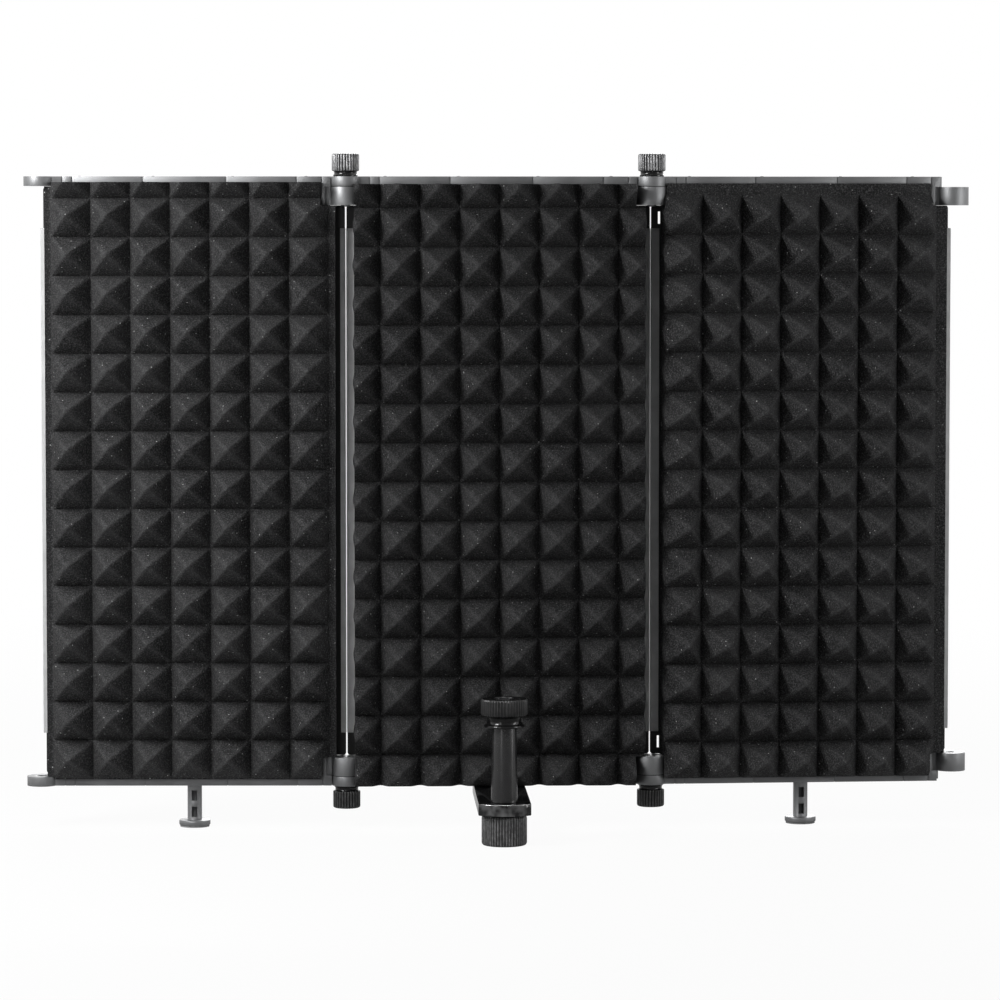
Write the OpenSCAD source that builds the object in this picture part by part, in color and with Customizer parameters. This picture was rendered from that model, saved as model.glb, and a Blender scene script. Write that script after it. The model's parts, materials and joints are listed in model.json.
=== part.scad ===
// Microphone isolation shield: three hinged foam panels, a microphone bracket and two pull-out feet.
// Millimetres, +Z up, the foam faces -Y. The origin is the mouth of the stand socket, on the post's axis.

/* [Panels] */
// Distance between neighbouring hinge axes
panel_pitch = 160.5; // [150:0.5:180]
// Height of a panel over its rails
panel_h = 320; // [280:1:380]
// How far the left wing stands swung back, in degrees
left_swing = 2; // [0:0.5:3]
// How far the right wing stands swung back, in degrees
right_swing = 3; // [0:0.5:3]
// Distance of the hinge axes behind the microphone post
post_to_hinge = 72; // [66:1:90]

/* [Rails and hinge lugs] */
// Thickness of a rail and of its thin lug
rail_t = 5; // [4.5:0.1:7]
// Depth of a rail in front of the hinge axes
rail_front = 3; // [2.5:0.1:3.4]
// Depth of a rail behind the hinge axes
rail_back = 6.5; // [6:0.1:7]
// Outer diameter of a hinge lug
lug_d = 15.6; // [14:0.1:16.4]
// Thickness of a thick lug
thick_lug_t = 9.6; // [8:0.1:12]
// Gap between a round lug and the hollow end of the rail beside it
lug_gap = 0.55; // [0.4:0.05:0.8]
// Distance of a hollow end's tips from the hinge axis
tip_reach = 4.5; // [4:0.1:5.5]
// Distance of a corner block's inner side from the hinge axis
block_reach = 12.5; // [11.5:0.1:14]
// Width of the block's upright front face
block_w = 1.8; // [1.5:0.1:3]
// Width of the fine seams across a rail's front
seam_w = 0.6; // [0.4:0.1:1]
// Depth of those seams
seam_depth = 0.8; // [0.4:0.1:1.2]

/* [Back plates] */
// Thickness of a back plate
plate_t = 1; // [0.8:0.1:1.5]
// Distance of a plate's free upright edge and of its edges on a hinge from the hinge axes
plate_inset = [1.8, 0.5]; // [0.4:0.1:2.4]
// Corner radius of a plate
plate_corner = 1.5; // [1:0.1:3]
// Diameter of the round perforations
hole_d = 9; // [6:0.5:10]
// Distance between neighbouring perforations
hole_pitch = 16; // [14:0.5:22]
// Width of the strip without perforations along a plate's left and right edge
hole_margin = [7.5, 5.5]; // [1.5:0.5:8]
// Width and height of the narrow slots beside a wing plate's left edge
slot_size = [1.2, 6.4]; // [1:0.1:8]
// Distance of the slots' middles from the edge
slot_inset = 4.2; // [2:0.1:6]
// Length of an edge trim strip
trim_l = 266; // [240:1:270]
// Width of the edge trim strip along a panel's left and right edge
trim_w = [4.5, 2.8]; // [2.4:0.1:5.5]
// Thickness of the trim on either side of the plate
trim_wall = 0.7; // [0.5:0.1:0.8]
// Distance of a trim's outer edge from the hinge axis
trim_inset = 0.32; // [0.3:0.01:0.6]
// Length of the slope at a trim's ends
trim_slope = 2; // [1:0.1:4]
// Diameter of the plate screws' heads
plate_screw_head = 5.6; // [5:0.1:6]
// Diameter of the plate screws' shanks
plate_screw_d = 2.8; // [2.4:0.1:3]
// Length of a plate screw's shank
plate_screw_l = 8; // [6:0.5:8.5]

/* [Foam pads] */
// Thickness of the foam behind the pyramids
foam_base = 11; // [9:0.5:13]
// Height of the pyramids
foam_peak = 17; // [14:0.5:18]
// Width of a pyramid
cell_w = 20.7; // [19:0.1:23]
// Height of a pyramid's square on the left, center and right pad
cell_h = [20.3, 20.5, 20.2]; // [19:0.1:23]
// Gap from the left hinge axis to the foam, on each pad
foam_left_gap = [3.3, 4.4, 6.4]; // [3:0.1:8]
// Gap from the foam to the right hinge axis, on each pad
foam_right_gap = [5.3, 3.7, 4.3]; // [3:0.1:8]
// Distance from the left hinge axis to the first groove, on each pad
first_column = [7.9, -1, 6.4]; // [-10:0.1:12]
// Distance from the panel's top to the first groove, on each pad
first_row = [-8, -4.4, 12.5]; // [-15:0.1:15]
// Height of the strip of top rail that each pad leaves free
foam_top_gap = [3, 4, 3.6]; // [1:0.1:6]
// Height of the strip of bottom rail that each pad leaves free
foam_low_gap = [3.5, 0.4, 3.3]; // [0.3:0.1:6]

/* [Thumbscrews] */
// Diameter of a thumbscrew's knob
knob_d = 14.4; // [13:0.1:16]
// Height of the knurled part of the knob
knob_h = 9; // [7:0.5:12]
// Diameter of the neck under the knob
neck_d = 13; // [11.5:0.1:13.1]
// Height of the neck
neck_h = 3; // [2:0.1:4]
// Diameter of the thumbscrew's steel screw
screw_d = 5; // [4:0.1:6]
// Number of grooves round a knob
knob_grooves = 28; // [20:1:40]
// Thickness of the washer between two lugs
washer_t = 0.4; // [0.3:0.1:0.8]
// How far the screw's tip stands out of the thick lug
screw_tip = 0.8; // [0.2:0.1:2]

/* [Microphone mount] */
// Width of the bracket
bracket_w = 27; // [24:0.5:32]
// Thickness of the bracket
bracket_t = 6; // [4:0.5:6]
// Reach of the bracket in front of the post's axis
bracket_reach = 14; // [12.5:0.5:18]
// Height of the bracket's leg behind the plate
leg_h = 48; // [44:1:60]
// Radius of the bracket's bowed front end
bracket_bow = 18.5; // [16:0.5:40]
// Corner radius of the bracket's leg
bracket_corner = 3; // [2:0.5:6]
// Travel of the post along the bracket's slot
post_travel = 30; // [20:1:34]
// Diameter of the threaded stud through the post
stud_d = 9.5; // [8:0.1:10]
// Height of the tapered post
post_h = 38.5; // [30:0.5:50]
// Diameter of the post at its foot
post_foot_d = 13.8; // [13:0.1:16]
// Diameter of the post at its top
post_top_d = 12; // [11.8:0.1:13]
// Diameter of the stand knob
stand_knob_d = 23.3; // [21:0.1:25]
// Height of the stand knob
stand_knob_h = 16; // [13:0.5:20]
// Diameter of the stand socket
socket_d = 15.1; // [14:0.1:16]
// Depth of the stand socket
socket_depth = 10; // [8:0.5:11]
// Diameter of the microphone nut's knurled ring
nut_d = 24; // [22:0.5:28]
// Height of the knurled ring
nut_ring_h = 9.4; // [7:0.1:12]
// Diameter of the flange under the ring
nut_flange_d = 20.8; // [18:0.1:21]
// Height of the flange and of the waist above it
nut_flange_h = 5.4; // [4:0.1:7]
// Number of grooves round the nut and the stand knob
nut_grooves = 48; // [24:1:56]
// Diameter of the bracket's screws
bracket_screw_d = 4; // [3:0.5:5]

/* [Feet] */
// Diameter of a foot's disc
disc_d = 16.4; // [14:0.1:20]
// Thickness of the disc with its pad
disc_t = 3.6; // [3:0.1:5]
// Thickness of the rubber pad
pad_t = 0.8; // [0.5:0.1:1.5]
// Outer diameter of a foot's tube
foot_d = 7.6; // [7:0.1:8]
// Wall of the tube
foot_wall = 1.3; // [1:0.1:2]
// Width of the tube's windows
window_w = 2.8; // [2:0.1:3.5]
// Height of the tube's windows
window_h = 5.4; // [4:0.1:6]
// Distance between the windows' middles
window_pitch = 8.7; // [7.5:0.1:10]
// Diameter of the stop collar above the rail
collar_d = 8.6; // [8.4:0.1:9]
// Height of the drawn-in feet above the table
foot_lift = 0; // [0:0.5:10]
// Distance of a foot behind the hinge axes
foot_back = 1.5; // [1.3:0.1:1.6]

/* [Hidden] */
$fn = 64;

// Clearances
run = 0.05;       // radial, between a screw and its thread or a tube and its guide
slip = 0.1;       // radial, where a screw passes freely
soft = 0.2;       // between the foam and what it lies beside
lug_room = 0.75;  // between the foam and a turning lug
over = 1;         // how far a cutting shape passes the face that it cuts
knurl_step = 0.15; // radial, from the bottom of a knurl's grooves in to the plain end beside it

// Places that follow from the sizes above
half = panel_pitch / 2;
top = panel_h / 2;
bracket_top = stand_knob_h + bracket_t;
mid_z = bracket_top + top;
lug_r = lug_d / 2;
screw_r = screw_d / 2;
stud_r = stud_d / 2;
scoop_r = lug_r + lug_gap;
thick_top = top - rail_t - washer_t;
thick_low = thick_top - thick_lug_t;
plate_back = rail_back + plate_t;
foam_front = rail_back - foam_base;
foam_reach = foam_base + foam_peak + 2 * over;
foam_inner = top - rail_t - soft;   // half the height of the room between the rails
notch_reach = block_reach + 2 * soft;
notch_open = [notch_reach, lug_r + lug_room, notch_reach];   // the center foam lies over its corner blocks
web_reach = block_reach - block_w;
web_front = 0;                      // the web between a corner block and its lug starts at the hinge axes
plate_end = thick_low - 0.1;
plate_margin = 0.5;                 // from a plate's upper and lower edge to the rail's outer face
leg_back = plate_back + bracket_t;
foot_up = bracket_top - foot_lift - disc_t - 0.4;
collar_h = 2;
screw_end = top + neck_h + knob_h - 2;   // blind end of a thumbscrew's screw in its knob
post_top_z = bracket_top + post_h;
nut_top_z = post_top_z + nut_flange_h + nut_ring_h;
seam_end = block_reach;
seam_places = [-0.39, -0.16, 0.11, 0.34];
screw_places = [-0.37, -0.13, 0.13, 0.37];
leg_screw_places = [0.36, 0.8];
bracket_nut_d = 8;
bracket_nut_t = 3.2;
flat_margin = 0.3;   // a strip narrower than this share of a pyramid stays flat
swings = [left_swing, 0, right_swing];

PANELS = ["left", "center", "right"];
HINGES = ["left", "right"];
ENDS = ["top", "bottom"];

// Panel frame: x from hinge axis to hinge axis, y behind the axes, z from the panel's middle
module at_panel(p) {
    side = p - 1;
    translate([side * half, post_to_hinge, mid_z]) rotate([0, 0, side * swings[p]])
        translate([side * half, 0, 0]) children();
}

module at_hinge(h) {
    translate([(2 * h - 1) * half, post_to_hinge, mid_z]) children();
}

// Turns what is drawn at a panel's top end into its bottom end
module at_end(e) {
    if (e == "top") children();
    else mirror([0, 0, 1]) children();
}

module round_square(low, high, r) {
    translate([low[0] + r, low[1]]) square([high[0] - low[0] - 2 * r, high[1] - low[1]]);
    translate([low[0], low[1] + r]) square([high[0] - low[0], high[1] - low[1] - 2 * r]);
    for (x = [low[0] + r, high[0] - r])
        for (z = [low[1] + r, high[1] - r])
            translate([x, z]) circle(r);
}

// Stands a flat outline in x and z upright, from y = 0 to y = depth
module upright(depth) {
    translate([0, depth, 0]) rotate([90, 0, 0]) linear_extrude(depth) children();
}

// Lies a cylinder along +Y
module along_y(d, l) {
    rotate([-90, 0, 0]) cylinder(d = d, h = l);
}

// Rails: a bar with a round lug at its left end and a hollow right end above a thick lug
module bar_outline(left, right) {
    translate([left, -rail_front]) square([right - left, rail_front + rail_back]);
}

module right_end_cut() {
    translate([half, 0]) circle(scoop_r);
}

module rail_outline() {
    difference() {
        union() {
            bar_outline(-half, half - tip_reach);
            translate([-half, 0]) circle(lug_r);
        }
        right_end_cut();
        translate([-half, 0]) circle(screw_r + slip);
    }
}

module corner_block_outline() {
    difference() {
        bar_outline(half - block_reach, half - tip_reach);
        right_end_cut();
    }
}

module thick_lug_outline() {
    difference() {
        union() {
            bar_outline(half - block_reach, half - web_reach);
            translate([half - block_reach, web_front]) square([block_reach, rail_back - web_front]);
            translate([half, 0]) circle(lug_r);
        }
        translate([half, 0]) circle(screw_r + run);
    }
}

module rail(p, end) {
    seams = concat([-half + seam_end, half - seam_end], [for (s = seam_places) s * panel_pitch]);
    color("DimGray") at_end(end) difference() {
        union() {
            translate([0, 0, top - rail_t]) linear_extrude(rail_t) rail_outline();
            translate([0, 0, thick_top]) linear_extrude(washer_t + rail_t / 2) corner_block_outline();
            translate([0, 0, thick_low]) linear_extrude(thick_lug_t) thick_lug_outline();
        }
        for (x = seams)
            translate([x - seam_w / 2, -rail_front - over, top - rail_t - over])
                cube([seam_w, seam_depth + over, rail_t + 2 * over]);
        for (s = screw_places)
            translate([s * panel_pitch, rail_back - plate_screw_l, top - rail_t / 2])
                along_y(plate_screw_d + 2 * run, plate_screw_l + over);
        if (end == "bottom" && p != 1)
            translate([0, foot_back, top - rail_t - over])
                cylinder(d = foot_d + 2 * run, h = rail_t + 2 * over);
    }
}

// Back plates; side 0 is a panel's left edge and side 1 its right edge
function plate_edge(p, side) = half - plate_inset[p == 2 * side ? 0 : 1];

function plate_holes(p) = [
    for (row = [-panel_h : panel_h])
        for (column = [-panel_pitch : panel_pitch])
            let (x = (column + (abs(row) % 2) / 2) * hole_pitch, z = row * hole_pitch * sin(60))
                if (x > hole_d / 2 + hole_margin[0] - plate_edge(p, 0)
                    && x < plate_edge(p, 1) - hole_d / 2 - hole_margin[1]
                    && abs(z) < plate_end - hole_d / 2
                    && !(p == 1 && abs(x) < (bracket_w + hole_d) / 2 && z < leg_h - top + hole_d / 2))
                    [x, z]];

module back_plate(p) {
    narrow = half - scoop_r;
    high = top - plate_margin;
    free_high = top - rail_t - plate_margin;
    slot_x = slot_inset - plate_edge(p, 0);
    color("#2e2e30") translate([0, rail_back, 0]) upright(plate_t) difference() {
        union() {
            round_square([-plate_edge(p, 0), -plate_end], [plate_edge(p, 1), plate_end], plate_corner);
            round_square([-narrow, -high], [narrow, high], plate_corner);
            if (p == 0) round_square([-plate_edge(p, 0), -free_high], [0, free_high], plate_corner);
        }
        if (p != 1)
            for (z = [-1, 1])
                translate([slot_x, z * (plate_end - slot_size[1])]) square(slot_size, center = true);
        for (at = plate_holes(p)) translate(at) circle(d = hole_d, $fn = 24);
        for (s = screw_places)
            for (z = [-1, 1])
                translate([s * panel_pitch, z * (top - rail_t / 2)]) circle(d = plate_screw_d + 2 * slip);
        if (p == 1)
            for (s = leg_screw_places)
                translate([0, s * leg_h - top]) circle(d = bracket_screw_d + 2 * slip);
    }
}

// Edge trims: channels pushed over a plate's upright edges, with sloping ends
module trim_side() {
    thin = trim_wall / 3;
    low = trim_l / 2 - trim_slope;
    polygon([[rail_back - trim_wall, -low], [rail_back - thin, -trim_l / 2],
             [plate_back + thin, -trim_l / 2], [plate_back + trim_wall, -low],
             [plate_back + trim_wall, low], [plate_back + thin, trim_l / 2],
             [rail_back - thin, trim_l / 2], [rail_back - trim_wall, low]]);
}

module edge_trims(p) {
    color("Gray") for (side = [0, 1]) mirror([1 - side, 0, 0]) {
        inner = half - trim_inset - trim_w[side];
        difference() {
            translate([inner, 0, 0]) rotate([90, 0, 90]) linear_extrude(trim_w[side]) trim_side();
            translate([inner - over, rail_back, -trim_l / 2 - over])
                cube([plate_edge(p, side) - inner + over, plate_t, trim_l + 2 * over]);
        }
    }
}

module plate_screws() {
    head_h = 1.8;
    color("#555558") for (s = screw_places)
        for (z = [-1, 1])
            translate([s * panel_pitch, 0, z * (top - rail_t / 2)]) {
                translate([0, plate_back - plate_screw_l, 0]) along_y(plate_screw_d, plate_screw_l);
                translate([0, plate_back, 0]) rotate([-90, 0, 0])
                    cylinder(d1 = plate_screw_head, d2 = plate_screw_head * 0.62, h = head_h);
            }
}

// Foam: a sheet of square pyramids between grooves, with a flat strip where no pyramid fits
function groove_count(room, pitch) =
    let (whole = floor(room / pitch)) room / pitch - whole > flat_margin ? whole + 1 : whole;

function grooves(first, pitch, low, high) =
    let (count = groove_count(high - first, pitch), last = first + count * pitch) concat(
        first > low ? [low - over] : [],
        [for (i = [0 : count]) first + i * pitch],
        last < high ? [high + over] : []);

function rises(lines, i, pitch) = abs(lines[i + 1] - lines[i] - pitch) < 0.001;

module pyramid_sheet(xs, zs, pitch_x, pitch_z) {
    nx = len(xs);
    nz = len(zs);
    valleys = [for (x = xs) for (z = zs) [x, foam_front, z]];
    peaks = [for (i = [0 : nx - 2]) for (j = [0 : nz - 2])
        let (rise = rises(xs, i, pitch_x) && rises(zs, j, pitch_z) ? foam_peak : 0)
            [(xs[i] + xs[i + 1]) / 2, foam_front - rise, (zs[j] + zs[j + 1]) / 2]];
    back = [for (corner = [[0, 0], [nx - 1, 0], [nx - 1, nz - 1], [0, nz - 1]])
        [xs[corner[0]], rail_back, zs[corner[1]]]];
    first_peak = nx * nz;
    first_back = first_peak + (nx - 1) * (nz - 1);
    slopes = [for (i = [0 : nx - 2]) for (j = [0 : nz - 2])
        let (a = i * nz + j, ring = [a, a + nz, a + nz + 1, a + 1], peak = first_peak + i * (nz - 1) + j)
            for (k = [0 : 3]) [ring[k], peak, ring[(k + 1) % 4]]];
    sides = [
        concat([first_back, first_back + 3], [for (j = [nz - 1 : -1 : 0]) j]),
        concat([first_back + 1], [for (j = [0 : nz - 1]) (nx - 1) * nz + j], [first_back + 2]),
        concat([first_back], [for (i = [0 : nx - 1]) i * nz], [first_back + 1]),
        concat([first_back + 3, first_back + 2], [for (i = [nx - 1 : -1 : 0]) i * nz + nz - 1]),
        [for (k = [0 : 3]) first_back + k]];
    polyhedron(points = concat(valleys, peaks, back), faces = concat(slopes, sides));
}

module foam_pad(p) {
    low_x = -half + foam_left_gap[p];
    high_x = half - foam_right_gap[p];
    low_z = foam_low_gap[p] - top;
    high_z = top - foam_top_gap[p];
    xs = grooves(first_column[p] - half, cell_w, low_x, high_x);
    drops = grooves(first_row[p] - top, cell_h[p], -high_z, -low_z);
    zs = [for (k = [len(drops) - 1 : -1 : 0]) -drops[k]];
    color("#2a2a2b") difference() {
        intersection() {
            pyramid_sheet(xs, zs, cell_w, cell_h[p]);
            translate([low_x, rail_back - foam_reach, low_z])
                cube([high_x - low_x, foam_reach, high_z - low_z]);
        }
        for (e = ENDS) at_end(e) {
            // Room for the rail, for the corner block at the right and for the lugs at the left
            translate([-half, -rail_front - soft, foam_inner])
                cube([panel_pitch, rail_front + rail_back + soft + over, rail_t + soft + over]);
            translate([half - notch_reach, -rail_front - soft, thick_low - soft])
                cube([notch_reach, rail_front + rail_back + soft + over, top - thick_low + soft]);
            translate([half - notch_open[p], rail_back - foam_reach, thick_low - soft])
                cube([notch_open[p], foam_reach + over, top - thick_low + soft]);
            lug_low = (p == 0 ? top - rail_t : thick_low) - soft;
            translate([-half, 0, lug_low]) cylinder(r = lug_r + lug_room, h = top - lug_low);
        }
        for (side = [0, 1]) mirror([1 - side, 0, 0])
            translate([half - trim_inset - trim_w[side] - soft, rail_back - trim_wall - soft,
                       -trim_l / 2 - soft])
                cube([trim_w[side] + over, trim_wall + soft + over, trim_l + 2 * soft]);
        if (p == 1)
            for (s = leg_screw_places)
                translate([0, rail_back - bracket_nut_t - 2 * over, s * leg_h - top])
                    along_y(bracket_nut_d * 1.4, bracket_nut_t + 3 * over);
        else
            translate([0, foot_back, -top])
                cylinder(d = collar_d + 2 * soft + 2 * run, h = rail_t + collar_h + foot_lift + foot_up + over);
    }
}

// Turned pieces: profiles of [radius, height], with a small chamfer at an edge
module turned(profile) {
    rotate_extrude() polygon(profile);
}

function pin(r, h, chamfer) =
    [[0, 0], [r - chamfer, 0], [r, chamfer], [r, h - chamfer], [r - chamfer, h], [0, h]];

module knurl(d, h, count, depth) {
    linear_extrude(h) difference() {
        circle(d = d);
        for (k = [0 : count - 1]) rotate(k * 360 / count) translate([d / 2, 0]) circle(depth, $fn = 4);
    }
}

// Thumbscrews and washers, drawn for the top end of a hinge line
module hinge_knob() {
    groove = 0.45;
    cap_r = knob_d / 2 - groove - knurl_step;
    cap_h = 1;
    neck_r = neck_d / 2;
    waist_r = neck_r - 0.5;
    foot_h = 0.8;
    color("#3a3a3c") difference() {
        translate([0, 0, top]) {
            turned([[0, 0], [neck_r - 0.2, 0], [neck_r, 0.2], [neck_r, foot_h], [waist_r, foot_h + 0.4],
                    [waist_r, neck_h - 0.6], [neck_r, neck_h], [0, neck_h]]);
            translate([0, 0, neck_h]) knurl(knob_d, knob_h - cap_h, knob_grooves, groove);
            translate([0, 0, neck_h + knob_h - cap_h])
                turned([[0, 0], [cap_r, 0], [cap_r - 0.4 * cap_h, 0.7 * cap_h], [cap_r - 1.4 * cap_h, cap_h],
                        [0, cap_h]]);
        }
        translate([0, 0, top - over]) cylinder(r = screw_r + run, h = screw_end - top + over);
    }
}

module hinge_screw() {
    low = thick_low - screw_tip;
    tip = 0.6;
    color("Silver") translate([0, 0, low])
        turned([[0, 0], [screw_r - tip, 0], [screw_r, tip], [screw_r, screw_end - low], [0, screw_end - low]]);
}

module hinge_washer() {
    color("#1c1c1c") translate([0, 0, thick_top]) difference() {
        cylinder(r = lug_r - 0.3, h = washer_t);
        translate([0, 0, -over]) cylinder(r = screw_r + slip, h = washer_t + 2 * over);
    }
}

// Bracket: an arm under the center panel, bent up behind its plate
module bracket_side() {
    bend = post_to_hinge + plate_back;
    translate([-bracket_reach, stand_knob_h]) square([bend + bracket_reach, bracket_t]);
    translate([bend, bracket_top]) square([bracket_t, leg_h]);
    intersection() {
        translate([bend, bracket_top]) circle(bracket_t);
        translate([bend, stand_knob_h]) square(bracket_t);
    }
}

module bracket() {
    full = post_to_hinge + leg_back;
    color("#141414") difference() {
        translate([-bracket_w / 2, 0, 0]) rotate([90, 0, 90]) linear_extrude(bracket_w) bracket_side();
        translate([0, bracket_bow - bracket_reach, stand_knob_h - over])
            linear_extrude(bracket_t + 2 * over) bow_cut();
        for (side = [0, 1]) mirror([side, 0, 0])
            translate([bracket_w / 2 - bracket_corner, full - bracket_t - over,
                       bracket_top + leg_h - bracket_corner])
                rotate([-90, 0, 0]) corner_cut(bracket_t + 2 * over);
        translate([0, 0, stand_knob_h - over]) linear_extrude(bracket_t + 2 * over) {
            for (y = [0, post_travel]) translate([0, y]) circle(stud_r + slip);
            translate([-stud_r - slip, 0]) square([2 * (stud_r + slip), post_travel]);
        }
        for (s = leg_screw_places)
            translate([0, full - bracket_t - over, bracket_top + s * leg_h])
                along_y(bracket_screw_d + 2 * slip, bracket_t + 2 * over);
    }
}

// What is cut from the front end to bow it
module bow_cut() {
    difference() {
        translate([-bracket_w, -bracket_bow - over]) square([2 * bracket_w, bracket_bow + over]);
        circle(bracket_bow, $fn = 128);
    }
}

// What is cut from the corner at +x, -y to round it
module corner_cut(h) {
    linear_extrude(h) difference() {
        translate([0, -bracket_corner - over]) square(bracket_corner + over);
        circle(bracket_corner);
    }
}

module bracket_screws() {
    head_d = 1.8 * bracket_screw_d;
    head_h = 0.6 * bracket_screw_d;
    shank = bracket_t + plate_t + bracket_nut_t + over;
    color("#4a4a4c") for (s = leg_screw_places)
        translate([0, post_to_hinge + leg_back, bracket_top + s * leg_h]) {
            translate([0, -shank, 0]) along_y(bracket_screw_d, shank);
            rotate([-90, 0, 0]) cylinder(d1 = head_d, d2 = 0.7 * head_d, h = head_h);
        }
}

module bracket_nuts() {
    color("Silver") for (s = leg_screw_places)
        translate([0, post_to_hinge + rail_back - bracket_nut_t, bracket_top + s * leg_h]) difference() {
            rotate([-90, 0, 0]) cylinder(d = bracket_nut_d, h = bracket_nut_t, $fn = 6);
            translate([0, -over, 0]) along_y(bracket_screw_d + 2 * run, bracket_nut_t + 2 * over);
        }
}

// Post, stud, nut and stand knob
module mic_post() {
    foot_r = post_foot_d / 2;
    top_r = post_top_d / 2;
    chamfer = 0.3;
    color("#1a1a1a") translate([0, 0, bracket_top]) difference() {
        turned([[0, 0], [foot_r - chamfer, 0], [foot_r, chamfer], [top_r, post_h - chamfer],
                [top_r - chamfer, post_h], [0, post_h]]);
        translate([0, 0, -over]) cylinder(r = stud_r + run, h = post_h + 2 * over);
    }
}

module post_stud() {
    low = socket_depth + 0.6;
    color("Silver") translate([0, 0, low]) turned(pin(stud_r, nut_top_z - over - low, 0.5));
}

module stand_knob() {
    edge = 1.2;
    groove = 0.4;
    end_r = stand_knob_d / 2 - groove - knurl_step;
    color("#242426") difference() {
        union() {
            turned([[0, 0], [end_r - 1.6 * edge, 0], [end_r - 0.4 * edge, 0.4 * edge], [end_r, edge],
                    [0, edge]]);
            translate([0, 0, edge]) knurl(stand_knob_d, stand_knob_h - 2 * edge, nut_grooves, groove);
            translate([0, 0, stand_knob_h - edge])
                turned([[0, 0], [end_r, 0], [end_r - 0.4 * edge, 0.6 * edge], [end_r - 1.6 * edge, edge],
                        [0, edge]]);
        }
        translate([0, 0, -over]) cylinder(d = socket_d, h = socket_depth + over);
        cylinder(r = stud_r + run, h = stand_knob_h + over);
    }
}

// Microphone nut: a flange, a waist and a knurled ring with a sloping underside
module mic_nut() {
    lip = 1.4;
    flange_r = nut_flange_d / 2;
    waist_r = flange_r - 1.6;
    groove = 0.4;
    edge = 1;
    slope = 1.2;
    end_r = nut_d / 2 - groove - knurl_step;
    color("#1e1e20") difference() {
        translate([0, 0, post_top_z]) {
            turned([[0, 0], [flange_r - 0.3, 0], [flange_r, 0.3], [flange_r, lip - 0.3], [flange_r - 0.7, lip],
                    [waist_r, lip + 1], [waist_r, nut_flange_h - 0.6], [waist_r + 0.5, nut_flange_h],
                    [end_r, nut_flange_h + slope], [0, nut_flange_h + slope]]);
            translate([0, 0, nut_flange_h + slope])
                knurl(nut_d, nut_ring_h - slope - edge, nut_grooves, groove);
            translate([0, 0, nut_flange_h + nut_ring_h - edge])
                turned([[0, 0], [end_r, 0], [end_r - 0.4 * edge, 0.6 * edge], [end_r - 1.4 * edge, edge],
                        [0, edge]]);
        }
        translate([0, 0, post_top_z - over])
            cylinder(r = stud_r + run, h = nut_flange_h + nut_ring_h + 2 * over);
    }
}

// Feet, drawn in the panel frame: a windowed tube on a disc, which slides up through the bottom rail
module foot() {
    table = foot_lift - mid_z;
    tube_top = -top + rail_t + collar_h + soft + foot_lift;
    window_low = table + disc_t + 1.6;
    color("DimGray") translate([0, foot_back, 0]) difference() {
        union() {
            translate([0, 0, table + pad_t]) turned(pin(disc_d / 2, disc_t - pad_t, 0.4));
            translate([0, 0, table + pad_t]) cylinder(d = foot_d, h = tube_top - table - pad_t);
            translate([0, 0, tube_top - collar_h]) cylinder(d = collar_d, h = collar_h);
        }
        translate([0, 0, table + disc_t]) cylinder(d = foot_d - 2 * foot_wall, h = tube_top - table);
        for (k = [0, 1])
            translate([-window_w / 2, -foot_d, window_low + k * window_pitch])
                cube([window_w, foot_d, window_h]);
    }
}

module foot_pad() {
    color("#181818") translate([0, foot_back, foot_lift - mid_z]) cylinder(d = disc_d - 1, h = pad_t);
}

for (p = [0 : 2]) at_panel(p) {
    back_plate(p);
    rail(p, "top");
    rail(p, "bottom");
    foam_pad(p);
    edge_trims(p);
    plate_screws();
    if (p != 1) {
        foot();
        foot_pad();
    }
}
for (h = [0, 1]) at_hinge(h) for (e = ENDS) at_end(e) {
    hinge_knob();
    hinge_screw();
    hinge_washer();
}
bracket();
bracket_screws();
bracket_nuts();
mic_post();
post_stud();
stand_knob();
mic_nut();
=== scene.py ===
"""Microphone isolation shield: foam, coated metal, knurled knobs and the studio round them."""

import json
import math

import bmesh
import bpy
from mathutils import Matrix, Vector

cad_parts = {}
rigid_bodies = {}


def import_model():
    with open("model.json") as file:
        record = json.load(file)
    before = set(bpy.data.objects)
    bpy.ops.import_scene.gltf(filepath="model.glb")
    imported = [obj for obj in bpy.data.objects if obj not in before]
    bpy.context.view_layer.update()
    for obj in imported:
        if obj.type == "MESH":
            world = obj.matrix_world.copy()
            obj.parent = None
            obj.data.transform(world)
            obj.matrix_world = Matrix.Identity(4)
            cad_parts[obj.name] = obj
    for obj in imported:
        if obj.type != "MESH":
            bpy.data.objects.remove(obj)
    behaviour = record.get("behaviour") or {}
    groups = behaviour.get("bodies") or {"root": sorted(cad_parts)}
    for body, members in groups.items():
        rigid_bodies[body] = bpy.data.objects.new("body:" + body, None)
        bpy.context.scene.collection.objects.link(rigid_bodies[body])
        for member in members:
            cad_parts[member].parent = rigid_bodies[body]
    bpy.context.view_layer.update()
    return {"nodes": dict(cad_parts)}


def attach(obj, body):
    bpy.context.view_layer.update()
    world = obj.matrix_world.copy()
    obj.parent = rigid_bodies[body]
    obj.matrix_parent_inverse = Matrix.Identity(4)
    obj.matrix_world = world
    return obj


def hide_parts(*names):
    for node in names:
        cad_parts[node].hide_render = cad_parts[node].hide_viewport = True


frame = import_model()

MM = 0.001
PANELS = ("left", "center", "right")
BODY = {"left": "left_wing", "center": "center_panel", "right": "right_wing"}

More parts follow.
